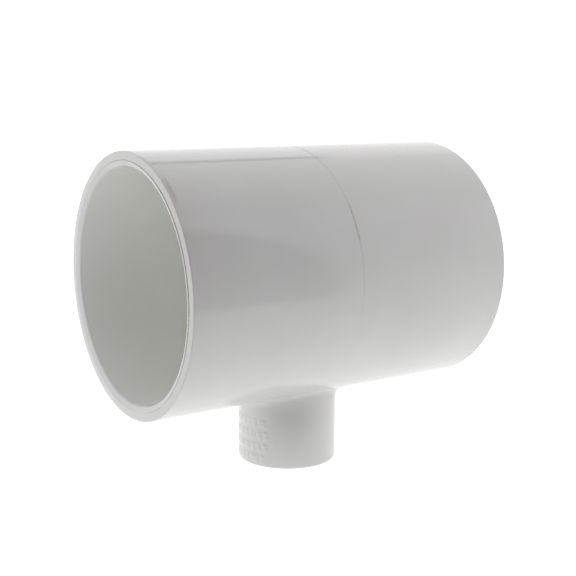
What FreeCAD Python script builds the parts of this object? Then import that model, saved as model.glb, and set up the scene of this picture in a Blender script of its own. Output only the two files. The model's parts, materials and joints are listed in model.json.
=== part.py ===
"""Slip-socket reducing tee in moulded PVC: 2 in run, 1/2 in branch.

Frame, in millimetres: the origin is the centre of the branch's end face, +Z runs up the branch
to the run, and +X runs along the run. The tee stands on its branch.
"""
import FreeCAD, Part
import math
import os

V = FreeCAD.Vector

# The run: a straight tube with a slip socket at each end
RUN_LENGTH = 97.9
RUN_OUTER_R = 34.3
RUN_SOCKET_R = 30.315      # takes 60.325 mm pipe; the moulded taper's mouth diameter is kept all the way
RUN_SOCKET_DEPTH = 38.1    # from the end face to the pipe stop
RUN_WATERWAY_R = 27.0      # between the two pipe stops

# The run's rims: a flat ring outside, a small step down, a nearly flat lip, then a short lead-in
RIM_RING_R = 32.1
RIM_STEP = 0.12
RIM_LIP_R = 31.0
RIM_LIP_DEPTH = 0.35
RUN_LEAD_IN_DEPTH = 1.3    # from the end face to where the straight socket wall starts
RIM_EDGE_ROUND = 0.3
STOP_CHAMFER = 0.5
SEAM_CHAMFER = 0.12        # each half's share of the witness line round the middle of the run

# The branch: a reducing hub that leaves the middle of the run at a right angle
BRANCH_LENGTH = 52.9       # from the run's axis to the branch's end face
BRANCH_OUTER_R = 13.6
BRANCH_SOCKET_R = 10.77    # takes 21.336 mm pipe
BRANCH_SOCKET_DEPTH = 22.2
BRANCH_WATERWAY_R = 7.9
BRANCH_LEAD_IN = 0.8
BRANCH_EDGE_ROUND = 0.4
ROOT_FILLET = 3.0
SADDLE_R = 17.2            # the hub's saddle fills a round hole of this radius in the run's wall

# Generic raised bars on the branch's -X side, in rows one above the other
BAR_PROUD = 0.25
BAR_DEPTH_IN_WALL = 0.5
BAR_HEIGHT = 2.0
BAR_ROW_PITCH = 3.4
BAR_LOWEST_Z = 1.0
BAR_GAP = 0.6              # along the arc, between neighbouring bars
BAR_ROWS = [               # the bars' lengths along the arc, row by row from the bottom
    [1.4, 2.4, 1.4, 1.4, 2.8, 1.4],
    [2.4, 1.4, 1.4, 2.4, 1.4, 1.4, 1.4],
    [1.4, 1.4, 2.8, 1.4, 2.4, 1.4, 1.4],
    [2.4, 1.4, 2.4, 1.4, 1.4, 2.4],
]

RUN_AXIS_Z = BRANCH_LENGTH
HALF_RUN = RUN_LENGTH / 2
STOP_X = HALF_RUN - RUN_SOCKET_DEPTH


def revolved(outline, centre, axis):
    """The solid swept by a closed outline once round an axis."""
    wire = Part.makePolygon(outline + outline[:1])
    return Part.Face(wire).revolve(centre, axis, 360)


def run_half(side):
    """One half of the run: side is -1 for the -X half and +1 for the +X half."""
    stations = [
        (0, RUN_WATERWAY_R),
        (STOP_X - STOP_CHAMFER, RUN_WATERWAY_R),
        (STOP_X, RUN_WATERWAY_R + STOP_CHAMFER),
        (STOP_X, RUN_SOCKET_R),
        (HALF_RUN - RUN_LEAD_IN_DEPTH, RUN_SOCKET_R),
        (HALF_RUN - RIM_LIP_DEPTH, RIM_LIP_R),
        (HALF_RUN - RIM_STEP, RIM_RING_R),
        (HALF_RUN, RIM_RING_R),
        (HALF_RUN, RUN_OUTER_R),
        (SEAM_CHAMFER, RUN_OUTER_R),
        (0, RUN_OUTER_R - SEAM_CHAMFER),
    ]
    outline = [V(side * x, 0, RUN_AXIS_Z + r) for x, r in stations]
    tube = revolved(outline, V(0, 0, RUN_AXIS_Z), V(1, 0, 0))
    rim = [e for e in tube.Edges if is_circle(e, V(side * HALF_RUN, 0, RUN_AXIS_Z), RUN_OUTER_R)]
    tube = tube.makeFillet(RIM_EDGE_ROUND, rim)
    hole = Part.makeCylinder(SADDLE_R, RUN_AXIS_Z)
    return tube.cut(hole)


def is_circle(edge, centre, radius):
    """Is this edge a whole circle of this radius about this centre?"""
    curve = edge.Curve
    if not isinstance(curve, Part.Circle):
        return False
    return curve.Center.distanceToPoint(centre) < 1e-6 and abs(curve.Radius - radius) < 1e-6


def saddle():
    """The patch of the run's wall that the hub fills, with its pipe-stop shoulders."""
    stations = [
        (-SADDLE_R - 1, RUN_SOCKET_R),
        (-STOP_X, RUN_SOCKET_R),
        (-STOP_X, RUN_WATERWAY_R + STOP_CHAMFER),
        (-STOP_X + STOP_CHAMFER, RUN_WATERWAY_R),
        (STOP_X - STOP_CHAMFER, RUN_WATERWAY_R),
        (STOP_X, RUN_WATERWAY_R + STOP_CHAMFER),
        (STOP_X, RUN_SOCKET_R),
        (SADDLE_R + 1, RUN_SOCKET_R),
        (SADDLE_R + 1, RUN_OUTER_R),
        (-SADDLE_R - 1, RUN_OUTER_R),
    ]
    outline = [V(x, 0, RUN_AXIS_Z + r) for x, r in stations]
    wall = revolved(outline, V(0, 0, RUN_AXIS_Z), V(1, 0, 0))
    plug = Part.makeCylinder(SADDLE_R, RUN_AXIS_Z)
    return wall.common(plug)


def bar(middle, length, low_z):
    """One raised bar, bent round the branch and rooted in its wall."""
    inner = BRANCH_OUTER_R - BAR_DEPTH_IN_WALL
    span = math.degrees(length / BRANCH_OUTER_R)
    start = middle - span / 2
    outer = BRANCH_OUTER_R + BAR_PROUD
    solid = Part.makeCylinder(outer, BAR_HEIGHT, V(0, 0, low_z), V(0, 0, 1), span)
    solid = solid.cut(Part.makeCylinder(inner, BAR_HEIGHT, V(0, 0, low_z)))
    solid.rotate(V(0, 0, 0), V(0, 0, 1), start)
    return solid


def raised_bars():
    """Every bar of the raised rows, each row centred on the -X side."""
    bars = []
    for row, lengths in enumerate(BAR_ROWS):
        total = sum(lengths) + BAR_GAP * (len(lengths) - 1)
        at = -total / 2
        for length in lengths:
            middle = 180 + math.degrees((at + length / 2) / BRANCH_OUTER_R)
            bars.append(bar(middle, length, BAR_LOWEST_Z + row * BAR_ROW_PITCH))
            at += length + BAR_GAP
    return bars


def branch_hub():
    """The branch with its saddle, root fillet, slip socket, pipe stop and waterway."""
    mid_wall_z = RUN_AXIS_Z - (RUN_OUTER_R + RUN_WATERWAY_R) / 2
    stem = Part.makeCylinder(BRANCH_OUTER_R, mid_wall_z)
    hub = saddle().fuse(stem).removeSplitter()
    root = [e for e in hub.Edges if is_root(e)]
    hub = hub.makeFillet(ROOT_FILLET, root)
    foot = [e for e in hub.Edges if is_circle(e, V(0, 0, 0), BRANCH_OUTER_R)]
    hub = hub.makeFillet(BRANCH_EDGE_ROUND, foot)
    hub = hub.fuse(raised_bars()).removeSplitter()
    waterway = Part.makeCylinder(BRANCH_WATERWAY_R, RUN_AXIS_Z)
    socket = Part.makeCylinder(BRANCH_SOCKET_R, BRANCH_SOCKET_DEPTH)
    mouth = Part.makeCone(BRANCH_SOCKET_R + BRANCH_LEAD_IN, BRANCH_SOCKET_R, BRANCH_LEAD_IN)
    return hub.cut(waterway.fuse([socket, mouth]))


def is_root(edge):
    """Does this edge run round the branch where it meets the run's outer surface?"""
    for point in edge.discretize(5):
        off_branch = abs(math.hypot(point.x, point.y) - BRANCH_OUTER_R)
        off_run = abs(math.hypot(point.y, point.z - RUN_AXIS_Z) - RUN_OUTER_R)
        if off_branch > 1e-3 or off_run > 1e-3 or point.z > RUN_AXIS_Z:
            return False
    return True


PIECES = {
    "run_half_left": run_half(-1),
    "run_half_right": run_half(1),
    "branch_hub": branch_hub(),
}

os.makedirs("parts", exist_ok=True)
for name, shape in PIECES.items():
    solid = shape.Solids[0]
    print(name, "solids", len(shape.Solids), "valid", solid.isValid(), "volume mm3", round(solid.Volume, 1))
    solid.exportStep("parts/" + name + ".step")
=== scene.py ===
import json
import math

import bmesh
import bpy
from mathutils import Matrix, Vector


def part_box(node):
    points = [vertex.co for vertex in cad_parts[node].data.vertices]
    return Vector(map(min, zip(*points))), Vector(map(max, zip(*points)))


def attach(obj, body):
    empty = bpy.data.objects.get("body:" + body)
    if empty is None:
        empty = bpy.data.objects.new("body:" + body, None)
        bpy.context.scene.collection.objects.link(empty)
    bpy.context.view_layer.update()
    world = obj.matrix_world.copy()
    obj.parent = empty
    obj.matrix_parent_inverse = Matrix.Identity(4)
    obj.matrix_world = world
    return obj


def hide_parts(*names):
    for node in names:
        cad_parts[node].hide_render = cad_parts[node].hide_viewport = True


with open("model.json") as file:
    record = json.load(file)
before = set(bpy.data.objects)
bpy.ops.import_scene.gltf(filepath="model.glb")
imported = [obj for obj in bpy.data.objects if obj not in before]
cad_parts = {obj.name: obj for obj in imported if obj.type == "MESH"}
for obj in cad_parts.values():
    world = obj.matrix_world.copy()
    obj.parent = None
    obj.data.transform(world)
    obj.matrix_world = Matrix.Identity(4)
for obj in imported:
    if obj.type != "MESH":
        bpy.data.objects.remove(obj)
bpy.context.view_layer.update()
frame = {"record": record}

# ---------------------------------------------------------------- sizes, in metres, in the row frame
MM = 0.001
run_low, run_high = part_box("run_half_right")
mounts = {m["name"]: m for m in frame["record"]["mounts"]}
HALF_RUN = run_high.x
RUN_R = run_high.y
AXIS_Z = (run_high.z + run_low.z) / 2
SOCKET_R = mounts["run_socket_right"]["dims"]["r_mm"] * MM
SOCKET_START = mounts["run_socket_right"]["pos_m"][0]
SOCKET_START_DEPTH = HALF_RUN - SOCKET_START
STOP_X = mounts["run_stop_right"]["pos_m"][0]
WATERWAY_R = 27 * MM
STOP_CHAMFER = 0.5 * MM
SADDLE_R = 17.2 * MM

# the rim, from the outer surface inwards
RIM_ROUND = 0.3 * MM
RING_R = 32.1 * MM
RING_EDGE_ROUND = 0.05 * MM
STEP = 0.12 * MM
LIP_R = 31.0 * MM
LIP_DEPTH = 0.35 * MM

# the trimmed edge between ring and lip is a fine groove, which opens up round one angle from the bottom
GROOVE_ANGLE, GROOVE_SPREAD = 250, 62
GROOVE_HALF_WIDTH, GROOVE_WIDENING = 0.06 * MM, 0.22 * MM
GROOVE_DEPTH, GROOVE_DEEPENING = 0.015 * MM, 0.68 * MM
STEP_ANGLE, STEP_SPREAD = 185, 45

# the witness line round the middle of the run, with the angles from the bottom where it is clearest
SEAM_DEPTH = 0.14 * MM
SEAM_FADE_FROM, SEAM_FADE_OVER = 40, 50
SEAM_CLEAREST = [(166, 14), (118, 9)]

# the run's grid of points: its columns round, and the distance from the middle where its rows line up
COLUMNS_ROUND = 300
EVEN_GRID_FROM = 24 * MM

# the branch
STEM_R = 13.6 * MM
STEM_SOCKET_R = mounts["branch_socket"]["dims"]["r_mm"] * MM
STEM_STOP_Z = mounts["branch_stop"]["pos_m"][2]
STEM_LEAD = mounts["branch_socket"]["pos_m"][2]
STEM_BORE_R = 7.9 * MM
ROOT_FILLET = 3.0 * MM
FOOT_ROUND = 0.4 * MM

# the generic raised bars on the branch's -X side, and the fine grid of points that they need
BAR_GRID_TOP = 13.6 * MM
BAR_GRID_STEPS = 84
BAR_PROUD = 0.15 * MM
BAR_EDGE = 0.75 * MM
BAR_HEIGHT = 2.0 * MM
BAR_PITCH = 3.4 * MM
BAR_LOWEST = 1.0 * MM
BAR_GAP = 0.6 * MM
BAR_ROWS = [  # lengths in millimetres, row by row from the bottom
    [1.4, 2.4, 1.4, 1.4, 2.8, 1.4],
    [2.4, 1.4, 1.4, 2.4, 1.4, 1.4, 1.4],
    [1.4, 1.4, 2.8, 1.4, 2.4, 1.4, 1.4],
    [2.4, 1.4, 2.4, 1.4, 1.4, 2.4],
]


# ---------------------------------------------------------------- mesh building
WELD = 0.0002 * MM
TINY = 1e-9
SHARP_EDGE = math.radians(28)
NEARLY_OUTWARD = 0.98


def arc(cx, cy, radius, start, end, steps):
    """Points of an arc, from start to end in degrees, both included."""
    angles = [math.radians(start + (end - start) * k / steps) for k in range(steps + 1)]
    return [(cx + radius * math.cos(a), cy + radius * math.sin(a)) for a in angles]


def mesh_from_columns(name, columns, keep_face, outer_normal):
    """Skins a ring of closed columns of points with quads; rows and columns both wrap round."""
    bm = bmesh.new()
    count = len(columns[0])
    verts = [[bm.verts.new(p) for p in column] for column in columns]
    for i, column in enumerate(verts):
        after = verts[(i + 1) % len(verts)]
        for j in range(count):
            k = (j + 1) % count
            if keep_face(i, j):
                bm.faces.new((column[j], column[k], after[k], after[j]))
    bmesh.ops.remove_doubles(bm, verts=bm.verts, dist=WELD)
    bmesh.ops.dissolve_degenerate(bm, edges=bm.edges, dist=WELD / 2)
    loose = [v for v in bm.verts if not v.link_faces]
    bmesh.ops.delete(bm, geom=loose, context="VERTS")
    bmesh.ops.recalc_face_normals(bm, faces=bm.faces)
    for face in bm.faces:
        face.smooth = True
    for edge in bm.edges:
        edge.smooth = edge.calc_face_angle(0) <= SHARP_EDGE
    mesh = bpy.data.meshes.new(name)
    bm.to_mesh(mesh)
    bm.free()
    normals = []
    for polygon in mesh.polygons:
        for index in polygon.vertices:
            normals.append(outer_normal(mesh.vertices[index].co, polygon.normal))
    mesh.normals_split_custom_set(normals)
    obj = bpy.data.objects.new(name, mesh)
    bpy.context.scene.collection.objects.link(obj)
    return obj


def run_normal(point, face_normal):
    """The exact normal on the run's outer cylinder, and no override anywhere else."""
    radial = Vector((0, point.y, point.z - AXIS_Z))
    outward = radial.normalized()
    if abs(radial.length - RUN_R) < WELD and face_normal.dot(outward) > NEARLY_OUTWARD:
        return outward
    return (0, 0, 0)


def saddle_stations():
    """Angles round the saddle's circle, measured from +X, for its half on the +X side.

    They lie close together in the middle, where the mirrored half has the bars, and on each side
    two of them fall on the edges of the pipe stop's chamfer.
    """
    dense = [k * 0.5 for k in range(-74, 75)]
    coarse = [k * 2.5 for k in range(15, 37)]
    for x, clear in ((STOP_X, 0.8), (STOP_X - STOP_CHAMFER, 0.6)):
        exact = math.degrees(math.acos(x / SADDLE_R))
        coarse = [a for a in coarse if abs(a - exact) > clear] + [exact]
    coarse.sort()
    return [-a for a in reversed(coarse)] + dense + coarse


STATIONS = saddle_stations()


# ---------------------------------------------------------------- the run's two halves
def hump(angle, middle, spread):
    """1 in the middle, easing to 0 over about twice the spread."""
    return math.exp(-(((angle - middle) / spread) ** 2))


def seam_depth(angle, front):
    """How deep the witness line is, angle degrees up from the bottom; front is 1 on the -Y side."""
    fade = min(1, max(0.05, (angle - SEAM_FADE_FROM) / SEAM_FADE_OVER))
    ripple = 0.5 + 0.25 * math.sin(angle * 0.31 + front) + 0.25 * math.sin(angle * 0.83 + 2 * front)
    clearest = sum(hump(angle, middle, spread) for middle, spread in SEAM_CLEAREST)
    return SEAM_DEPTH * fade * min(1, 0.25 + 0.3 * ripple + 0.5 * clearest)


def rim_rows(angle):
    """(distance from the end face, radius) from the outer surface round the rim into the socket."""
    opening = hump(angle, GROOVE_ANGLE, GROOVE_SPREAD)
    half_width = GROOVE_HALF_WIDTH + GROOVE_WIDENING * opening
    depth = GROOVE_DEPTH + GROOVE_DEEPENING * opening
    step = STEP * (0.12 + 0.5 * hump(angle, STEP_ANGLE, STEP_SPREAD) * (1 - opening))
    lip_depth = LIP_DEPTH * (1 - 0.65 * opening)
    middle = RING_R - half_width
    rows = arc(RIM_ROUND, RUN_R - RIM_ROUND, RIM_ROUND, 90, 180, 6)
    rows += [(0, RUN_R - 0.8 * MM), (0, RING_R + 0.15 * MM)]
    rows += arc(RING_EDGE_ROUND, RING_R + RING_EDGE_ROUND, RING_EDGE_ROUND, 180, 250, 3)
    rows += [(step + depth * 0.9, middle + half_width * 0.5), (step + depth, middle)]
    rows += [(step + depth * 0.9, middle - half_width * 0.5), (step + 0.04 * MM, middle - half_width)]
    rows += [(step, middle - half_width - 0.05 * MM)]
    for k in range(7):
        turn = math.radians(90 * k / 7)
        inwards = lip_depth + (SOCKET_START_DEPTH - lip_depth) * (1 - math.cos(turn))
        rows.append((inwards, SOCKET_R + (LIP_R - SOCKET_R) * (1 - math.sin(turn))))
    return rows


def outer_rows(start, groove):
    """(distance from the middle, radius) from the seam's groove along the run's outside."""
    first = max(start, groove * 0.8)
    rows = [(start, RUN_R - groove), (first, RUN_R)]
    rows += [(first + (EVEN_GRID_FROM - first) * k / 8, RUN_R) for k in range(1, 9)]
    straight = HALF_RUN - RIM_ROUND - EVEN_GRID_FROM
    rows += [(EVEN_GRID_FROM + straight * k / 8, RUN_R) for k in range(1, 8)]
    return rows


def inner_rows(start, groove):
    """(distance from the middle, radius) back along the socket, over the pipe stop to the cut face."""
    inner = max(start, STOP_X)
    rows = [(SOCKET_START, SOCKET_R)]
    rows += [(inner + (SOCKET_START - inner) * k / 6, SOCKET_R) for k in range(5, -1, -1)]
    shoulder_r = WATERWAY_R + STOP_CHAMFER
    chamfer_u = max(start, STOP_X - STOP_CHAMFER)
    chamfer_r = WATERWAY_R + chamfer_u - (STOP_X - STOP_CHAMFER)
    if abs(start - STOP_X) < WELD:
        rows += [(start, shoulder_r)] * 4
    elif start > STOP_X:
        rows += [(start, SOCKET_R)] * 4
    else:
        rows += [(STOP_X, shoulder_r), (chamfer_u, chamfer_r), (start, chamfer_r), (start, shoulder_r)]
    wall = RUN_R - groove - SOCKET_R
    rows += [(start, SOCKET_R + wall * k / 3) for k in range(3)]
    return rows


def notch_column(side, value):
    """The column of points that starts on the saddle's circle, value degrees round from +X."""
    start = max(0, SADDLE_R * math.cos(math.radians(value)))
    start = 0 if start < WELD else start
    across = SADDLE_R * math.sin(math.radians(value))
    return start, run_column(side, start, 0, lambda radius: math.asin(across / radius))


def plain_column(side, share):
    """The column that starts at the seam, at a share of the way round from one notch edge to the next."""

    def spin(radius):
        edge = math.asin(SADDLE_R / radius)
        return edge + (2 * math.pi - 2 * edge) * share

    turned = math.degrees(spin(RUN_R))
    groove = seam_depth(min(turned, 360 - turned), int(turned > 180))
    return 0, run_column(side, 0, groove, spin)


def run_column(side, start, groove, spin):
    """Points round one lengthwise section of the wall; spin gives the angle up from the bottom."""
    turned = math.degrees(spin(RUN_R)) % 360
    rim = [(HALF_RUN - d, r) for d, r in rim_rows(turned)]
    points = []
    for u, radius in outer_rows(start, groove) + rim + inner_rows(start, groove):
        a = spin(radius)
        points.append((side * u, radius * math.sin(a), AXIS_Z - radius * math.cos(a)))
    return points


def run_half(name, side):
    """One half of the run. side is +1 or -1."""
    made = [notch_column(side, value) for value in STATIONS]
    made += [plain_column(side, k / COLUMNS_ROUND) for k in range(1, COLUMNS_ROUND)]
    starts = [start for start, _ in made]
    columns = [points for _, points in made]
    cut_face = len(columns[0]) - 3
    stop = cut_face - 5

    def keep(i, j):
        """Past the pipe stop the notch leaves no shoulder, so those rows hold no face."""
        past_stop = min(starts[i], starts[(i + 1) % len(starts)]) >= STOP_X - WELD
        return not (past_stop and stop <= j < cut_face)

    return mesh_from_columns(name, columns, keep, run_normal)


# ---------------------------------------------------------------- the branch
def smooth_edge(distance, width):
    """0 outside an edge, 1 inside it, easing over width."""
    t = min(1.0, max(0.0, distance / width + 0.5))
    return t * t * (3 - 2 * t)


def bar_outlines():
    """(left, right, low, high) of every bar, measured along the arc from -X, and in height."""
    bars = []
    for row, lengths in enumerate(BAR_ROWS):
        low = BAR_LOWEST + row * BAR_PITCH
        at = -(sum(lengths) * MM + BAR_GAP * (len(lengths) - 1)) / 2
        for length in lengths:
            bars.append((at, at + length * MM, low, low + BAR_HEIGHT))
            at += length * MM + BAR_GAP
    return bars


BARS = bar_outlines()


def bar_relief(degrees, z):
    """How far the generic raised bars stand out of the branch at this angle and height."""
    along = math.radians(degrees % 360 - 180) * STEM_R
    best = 0.0
    for left, right, low, high in BARS:
        across = smooth_edge(min(along - left, right - along), BAR_EDGE)
        up = smooth_edge(min(z - low, high - z), BAR_EDGE)
        best = max(best, across * up)
    return best * BAR_PROUD


def run_surface(rho, sine, radius):
    """Height of a cylinder round the run's axis, rho out from the branch's axis.

    The sine is that of the angle round the branch, measured from +X.
    """
    return AXIS_Z - math.sqrt(radius ** 2 - (rho * sine) ** 2)


def root_arc(sine):
    """Where the root fillet meets the run, the height of its centre, and its start angle."""
    low, high = STEM_R, STEM_R + ROOT_FILLET * 1.01
    for _ in range(50):
        rho = (low + high) / 2
        slope = rho * sine * sine / math.sqrt(RUN_R ** 2 - (rho * sine) ** 2)
        if rho + ROOT_FILLET * slope / math.hypot(1, slope) < STEM_R + ROOT_FILLET:
            low = rho
        else:
            high = rho
    centre_z = run_surface(rho, sine, RUN_R) - ROOT_FILLET / math.hypot(1, slope)
    return rho, centre_z, math.degrees(math.atan2(1, -slope))


def stem_outside(degrees, sine):
    """(distance from the axis, height) from the saddle's edge over the root fillet to the foot."""
    fillet_rho, centre_z, start = root_arc(sine)
    rhos = [SADDLE_R + (fillet_rho - SADDLE_R) * k / 3 for k in range(3)]
    profile = [(rho, run_surface(rho, sine, RUN_R)) for rho in rhos]
    profile += arc(STEM_R + ROOT_FILLET, centre_z, ROOT_FILLET, start, 180, 14)
    profile += [(STEM_R, centre_z + (BAR_GRID_TOP - centre_z) * k / 4) for k in range(1, 4)]
    for k in range(BAR_GRID_STEPS + 1):
        z = BAR_GRID_TOP + (FOOT_ROUND - BAR_GRID_TOP) * k / BAR_GRID_STEPS
        profile.append((STEM_R + bar_relief(degrees, z), z))
    return profile + arc(STEM_R - FOOT_ROUND, FOOT_ROUND, FOOT_ROUND, 0, -90, 8)[1:]


def stem_inside():
    """(distance from the axis, height) from the mouth's lead-in up the socket to the pipe stop."""
    mouth = STEM_SOCKET_R + STEM_LEAD
    profile = [(mouth + 0.15 * MM, 0.0), (mouth - 0.06 * MM, 0.07 * MM)]
    profile += [(STEM_SOCKET_R + 0.08 * MM, STEM_LEAD - 0.1 * MM), (STEM_SOCKET_R, STEM_LEAD + 0.1 * MM)]
    profile += [(STEM_SOCKET_R, STEM_LEAD + (STEM_STOP_Z - STEM_LEAD) * k / 4) for k in range(1, 5)]
    return profile + [(STEM_BORE_R, STEM_STOP_Z)]


def saddle_inside(cosine, sine):
    """(distance from the axis, height) over the saddle's inside and along its edge to the outside."""
    edge_low = min((STOP_X - STOP_CHAMFER) / max(TINY, abs(cosine)), SADDLE_R)
    edge = min(STOP_X / max(TINY, abs(cosine)), SADDLE_R)
    chamfered = WATERWAY_R + max(0, min(STOP_CHAMFER, abs(edge * cosine) - (STOP_X - STOP_CHAMFER)))
    profile = []
    for k in range(4):
        rho = STEM_BORE_R + (edge_low - STEM_BORE_R) * k / 3
        profile.append((rho, run_surface(rho, sine, WATERWAY_R)))
    for radius in (chamfered, WATERWAY_R + STOP_CHAMFER, SOCKET_R):
        profile.append((edge, run_surface(edge, sine, radius)))
    for k in range(3):
        radius = SOCKET_R + (RUN_R - SOCKET_R) * k / 3
        profile.append((SADDLE_R, run_surface(SADDLE_R, sine, radius)))
    return profile


def hub(name):
    """The branch with its saddle."""
    columns = []
    for degrees in STATIONS + [180 - a for a in reversed(STATIONS)][1:-1]:
        cosine, sine = math.cos(math.radians(degrees)), math.sin(math.radians(degrees))
        profile = stem_outside(degrees, sine) + stem_inside() + saddle_inside(cosine, sine)
        columns.append([(rho * cosine, rho * sine, z) for rho, z in profile])
    return mesh_from_columns(name, columns, lambda i, j: True, run_normal)


left = run_half("tee_run_left", -1)
right = run_half("tee_run_right", 1)
branch = hub("tee_branch")

for piece, node in ((left, "run_half_left"), (right, "run_half_right"), (branch, "branch_hub")):
    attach(piece, "root")
    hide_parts(node)


# ---------------------------------------------------------------- the material
def node_tree(name):
    """A new material and its empty node tree."""
    material = bpy.data.materials.new(name)
    material.use_nodes = True
    tree = material.node_tree
    tree.nodes.clear()
    return material, tree


def add(tree, kind, **settings):
    """A new node with its settings and its inputs' constants."""
    node = tree.nodes.new(kind)
    for key, value in settings.items():
        if hasattr(node, key):
            setattr(node, key, value)
        else:
            node.inputs[key].default_value = value
    return node


def calc(tree, operation, *values):
    """The output of a maths node fed by sockets or numbers."""
    node = tree.nodes.new("ShaderNodeMath")
    node.operation = operation
    for socket, value in zip(node.inputs, values):
        if isinstance(value, (int, float)):
            socket.default_value = value
        else:
            tree.links.new(value, socket)
    return node.outputs[0]


def bell(tree, value, centre, width):
    """1 at the centre, easing to 0 over about twice the width."""
    off = calc(tree, "DIVIDE", calc(tree, "SUBTRACT", value, centre), width)
    return calc(tree, "POWER", math.e, calc(tree, "MULTIPLY", calc(tree, "MULTIPLY", off, off), -1))


def product(tree, *values):
    """Everything multiplied together."""
    result = values[0]
    for value in values[1:]:
        result = calc(tree, "MULTIPLY", result, value)
    return result


def overlaid(tree, colour, amount, laid_colour):
    """Lays a colour over another wherever amount says: the stains, and the painted shade in the rim's
    groove.
    """
    mix = tree.nodes.new("ShaderNodeMix")
    mix.data_type = "RGBA"
    tree.links.new(amount, mix.inputs[0])
    tree.links.new(colour, mix.inputs[6])
    mix.inputs[7].default_value = (*laid_colour, 1)
    return mix.outputs[2]


NEAR_RIM = -(HALF_RUN - 1.0 * MM)
STAINS = [  # x and its spread, degrees from the top towards -Y and their spread, amount, gritty, colour
    (0, 0.3 * MM, 14, 14, 0.22, False, (0.42, 0.41, 0.40)),
    (0, 0.3 * MM, 61, 8, 0.6, True, (0.26, 0.16, 0.15)),
    (NEAR_RIM, 0.55 * MM, 39, 7, 0.42, False, (0.30, 0.20, 0.19)),
    (NEAR_RIM, 5 * MM, 55, 22, 0.16, False, (0.62, 0.47, 0.49)),
]
BREAKUP_FROM, BREAKUP_TO = 0.42, 0.62

# the painted shade in the rim's groove, near black and broken into dashes: its radius, its reach along X,
# and its angles from the top
GROOVE_SHADE_R, GROOVE_SHADE_SPREAD = RING_R - 0.28 * MM, 0.22 * MM
GROOVE_SHADE_REACH = 1.2 * MM
GROOVE_SHADE_ANGLE, GROOVE_SHADE_ANGLE_SPREAD = math.radians(84), math.radians(16)
GROOVE_SHADE_AMOUNT = 0.9
GROOVE_SHADE_COLOUR = (0.05, 0.035, 0.03)


def wear_and_groove_shade(tree, where, colour):
    """Handling dirt along the witness line and beside the near rim, and painted shade in the rim's groove.
    """
    split = tree.nodes.new("ShaderNodeSeparateXYZ")
    tree.links.new(where.outputs["Object"], split.inputs[0])
    x, y = split.outputs["X"], split.outputs["Y"]
    z = calc(tree, "SUBTRACT", split.outputs["Z"], AXIS_Z)
    radius = calc(tree, "SQRT", calc(tree, "ADD", product(tree, y, y), product(tree, z, z)))
    turned = calc(tree, "ARCTAN2", product(tree, y, -1), z)
    # one noise breaks both the gritty stains and the groove's painted shade into patches
    breakup_noise = add(tree, "ShaderNodeTexNoise", Scale=1500, Detail=2, Roughness=0.6)
    tree.links.new(where.outputs["Object"], breakup_noise.inputs["Vector"])
    patches = add(tree, "ShaderNodeMapRange")
    patches.inputs["From Min"].default_value = BREAKUP_FROM
    patches.inputs["From Max"].default_value = BREAKUP_TO
    tree.links.new(breakup_noise.outputs["Fac"], patches.inputs["Value"])
    rough = patches.outputs["Result"]

    for place, spread, degrees, turn_spread, amount, gritty, dirt in STAINS:
        along = bell(tree, x, place, spread)
        round_it = bell(tree, turned, math.radians(degrees), math.radians(turn_spread))
        where_dirty = product(tree, along, round_it, amount)
        if gritty:
            where_dirty = product(tree, where_dirty, rough)
        colour = overlaid(tree, colour, where_dirty, dirt)

    # painted shade: the rim's groove darkened near black on its -Y side, in dashes where the noise is high
    in_groove = bell(tree, radius, GROOVE_SHADE_R, GROOVE_SHADE_SPREAD)
    at_end = bell(tree, x, -HALF_RUN, GROOVE_SHADE_REACH)
    shaded_side = bell(tree, turned, GROOVE_SHADE_ANGLE, GROOVE_SHADE_ANGLE_SPREAD)
    return overlaid(tree, colour, product(tree, in_groove, at_end, shaded_side, rough, GROOVE_SHADE_AMOUNT), GROOVE_SHADE_COLOUR)


def plain_pvc(name, dark, light, worn_and_groove_shaded):
    """Glossy moulded plastic: a cloudy tint, uneven gloss and a slight waviness."""
    material, tree = node_tree(name)
    link = tree.links.new
    where = add(tree, "ShaderNodeTexCoord")
    cloud = add(tree, "ShaderNodeTexNoise", Scale=45, Detail=3, Roughness=0.5)
    link(where.outputs["Object"], cloud.inputs["Vector"])
    tint = add(tree, "ShaderNodeValToRGB")
    tint.color_ramp.elements[0].position = 0.3
    tint.color_ramp.elements[0].color = (*dark, 1)
    tint.color_ramp.elements[1].position = 0.7
    tint.color_ramp.elements[1].color = (*light, 1)
    link(cloud.outputs["Fac"], tint.inputs["Fac"])
    fine = add(tree, "ShaderNodeTexNoise", Scale=900, Detail=4, Roughness=0.6)
    link(where.outputs["Object"], fine.inputs["Vector"])
    gloss = add(tree, "ShaderNodeMapRange")
    gloss.inputs["To Min"].default_value = 0.06
    gloss.inputs["To Max"].default_value = 0.16
    link(fine.outputs["Fac"], gloss.inputs["Value"])
    wave = add(tree, "ShaderNodeTexNoise", Scale=160, Detail=2, Roughness=0.5)
    link(where.outputs["Object"], wave.inputs["Vector"])
    bump = add(tree, "ShaderNodeBump", Strength=0.12, Distance=0.06 * MM)
    link(wave.outputs["Fac"], bump.inputs["Height"])
    shader = add(tree, "ShaderNodeBsdfPrincipled", IOR=1.5)
    colour = tint.outputs["Color"]
    if worn_and_groove_shaded:
        colour = wear_and_groove_shade(tree, where, colour)
    link(colour, shader.inputs["Base Color"])
    link(gloss.outputs["Result"], shader.inputs["Roughness"])
    link(bump.outputs["Normal"], shader.inputs["Normal"])
    out = add(tree, "ShaderNodeOutputMaterial")
    link(shader.outputs["BSDF"], out.inputs["Surface"])
    return material


SOCKET_MARGIN = 0.02 * MM
ABOVE_STEM_SOCKET = 22 * MM
outside_pvc = plain_pvc("white_pvc", (0.72, 0.72, 0.71), (0.76, 0.76, 0.75), True)
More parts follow.
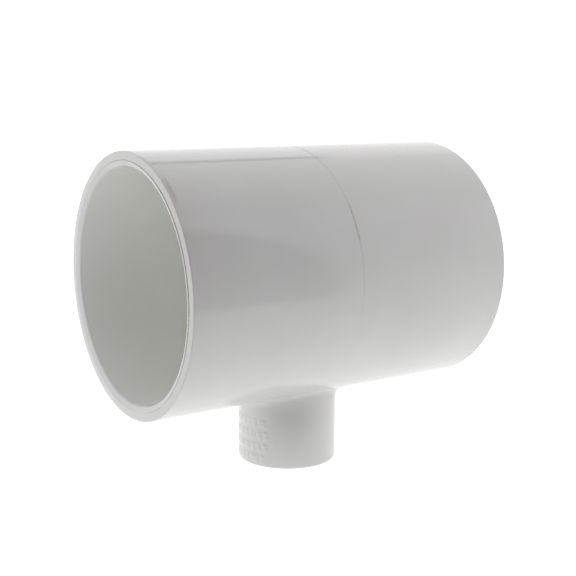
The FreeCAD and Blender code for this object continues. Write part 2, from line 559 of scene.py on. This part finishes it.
# the same plastic, lighter and greener, for the faces inside: painted bounce light inside the sockets and
# waterway
inside_pvc_lightened = plain_pvc("white_pvc_inside_painted_bounce", (0.80, 0.81, 0.775), (0.84, 0.85, 0.815), False)
for piece in (left, right, branch):
    piece.data.materials.append(outside_pvc)
    piece.data.materials.append(inside_pvc_lightened)
    # faces inside the run's sockets and waterway, above the branch's socket, take the lighter copy:
    # painted bounce light
    for polygon in piece.data.polygons:
        middle = polygon.center
        off_axis = math.hypot(middle.y, middle.z - AXIS_Z)
        if off_axis < SOCKET_R + SOCKET_MARGIN and middle.z > ABOVE_STEM_SOCKET:
            polygon.material_index = 1


# ---------------------------------------------------------------- floor, lights and camera
def flat_material(name, colour, emission):
    """An even studio surface that gives off some light of its own."""
    material, tree = node_tree(name)
    shader = add(tree, "ShaderNodeBsdfPrincipled", Roughness=0.8)
    shader.inputs["Base Color"].default_value = (*colour, 1)
    shader.inputs["Emission Color"].default_value = (1, 1, 1, 1)
    shader.inputs["Emission Strength"].default_value = emission
    out = add(tree, "ShaderNodeOutputMaterial")
    tree.links.new(shader.outputs["BSDF"], out.inputs["Surface"])
    return material


def sheet(name, rows, material):
    """A studio sheet through two rows of points."""
    bm = bmesh.new()
    lower, upper = [[bm.verts.new(c) for c in row] for row in rows]
    for k in range(len(lower) - 1):
        bm.faces.new((lower[k], lower[k + 1], upper[k + 1], upper[k]))
    mesh = bpy.data.meshes.new(name)
    bm.to_mesh(mesh)
    bm.free()
    mesh.materials.append(material)
    obj = bpy.data.objects.new(name, mesh)
    bpy.context.scene.collection.objects.link(obj)
    return obj


def level(low_x, high_x, near, far):
    """Two rows of points across, at a near and a far (y, z)."""
    return [[(low_x, *near), (high_x, *near)], [(low_x, *far), (high_x, *far)]]


def standing(turns, radius, height):
    """Two rows of points round the tee, on the floor and height above it; 0 degrees is -Y."""
    foot = []
    for degrees in turns:
        a = math.radians(degrees)
        foot.append((radius * math.sin(a), -radius * math.cos(a), 0))
    return [foot, [(x, y, height) for x, y, _ in foot]]


FLOOR_SIZE = 6.0
TABLE_Z = -0.0003
CURTAIN_RADIUS, CURTAIN_HEIGHT = 0.24, 0.34
FLAG_RADIUS, FLAG_HEIGHT = 0.024, 0.014
SOFTBOX_Z = 0.55
SOFTBOX_LEFT, SOFTBOX_RIGHT = -0.7, 0.9
SOFTBOX_NEAR, SOFTBOX_FAR = -0.25, 0.378
FRAME_RIGHT, FRAME_WIDTH, FRAME_DROP = 0.45, 0.06, 0.01

# the floor that the camera sees, and the table just under it that lights the tee from below
floor = sheet(
    "floor",
    level(-FLOOR_SIZE, FLOOR_SIZE, (-FLOOR_SIZE, 0), (FLOOR_SIZE, 0)),
    flat_material("pale_floor", (0.15, 0.15, 0.15), 1.0),
)
table = sheet(
    "table",
    level(-FLOOR_SIZE, FLOOR_SIZE, (-FLOOR_SIZE, TABLE_Z), (FLOOR_SIZE, TABLE_Z)),
    flat_material("pale_table", (0.2, 0.2, 0.2), 0.87),
)

# dark cloth round the near side, and a small flag close to the branch
curtain = sheet(
    "curtain",
    standing(range(-90, 31, 5), CURTAIN_RADIUS, CURTAIN_HEIGHT),
    flat_material("dark_cloth", (0.05, 0.045, 0.05), 0.06),
)
flag = sheet(
    "flag",
    standing(range(-50, -13, 4), FLAG_RADIUS, FLAG_HEIGHT),
    flat_material("dark_flag", (0.05, 0.05, 0.05), 0.42),
)

# the softbox overhead, with a dark frame along its far edge
softbox = sheet(
    "softbox",
    level(SOFTBOX_LEFT, SOFTBOX_RIGHT, (SOFTBOX_NEAR, SOFTBOX_Z), (SOFTBOX_FAR, SOFTBOX_Z)),
    flat_material("softbox_cloth", (0.1, 0.1, 0.1), 0.77),
)
frame_far = (SOFTBOX_FAR + FRAME_WIDTH, SOFTBOX_Z - FRAME_DROP)
softbox_frame = sheet(
    "softbox_frame",
    level(SOFTBOX_LEFT, FRAME_RIGHT, (SOFTBOX_FAR, SOFTBOX_Z), frame_far),
    flat_material("softbox_edge", (0.03, 0.03, 0.03), 0.0),
)

floor.visible_diffuse = False
floor.visible_shadow = False
for without_reflection in (floor, flag):
    without_reflection.visible_glossy = False
for unseen in (table, curtain, flag, softbox, softbox_frame):
    unseen.visible_camera = False

CAM_AZ, CAM_EL, CAM_ROLL = math.radians(-34.104), math.radians(10.617), math.radians(0.459)
CAM_LENS = 68.535
CAM_DISTANCE = 0.3038
CAM_DROP = -0.004895

back_x = math.sin(CAM_AZ) * math.cos(CAM_EL)
back_y = -math.cos(CAM_AZ) * math.cos(CAM_EL)
back = Vector((back_x, back_y, math.sin(CAM_EL)))
level_right = (-back).cross(Vector((0, 0, 1))).normalized()
level_up = level_right.cross(-back)
right_axis = math.cos(CAM_ROLL) * level_right + math.sin(CAM_ROLL) * level_up
up_axis = -math.sin(CAM_ROLL) * level_right + math.cos(CAM_ROLL) * level_up
camera_data = bpy.data.cameras.new("camera")
camera_data.lens = CAM_LENS
camera_data.sensor_width = 36
camera_data.clip_start, camera_data.clip_end = 0.01, 100
camera = bpy.data.objects.new("camera", camera_data)
bpy.context.scene.collection.objects.link(camera)
turn = Matrix((right_axis, up_axis, back)).transposed().to_4x4()
spot = Vector((0, 0, AXIS_Z)) + level_up * CAM_DROP + back * CAM_DISTANCE
camera.matrix_world = Matrix.Translation(spot) @ turn
bpy.context.scene.camera = camera

world = bpy.data.worlds.new("studio")
world.use_nodes = True
world.node_tree.nodes["Background"].inputs["Color"].default_value = (1.0, 0.98, 0.99, 1)
world.node_tree.nodes["Background"].inputs["Strength"].default_value = 1.14
bpy.context.scene.world = world
bpy.context.scene.view_settings.view_transform = "Standard"
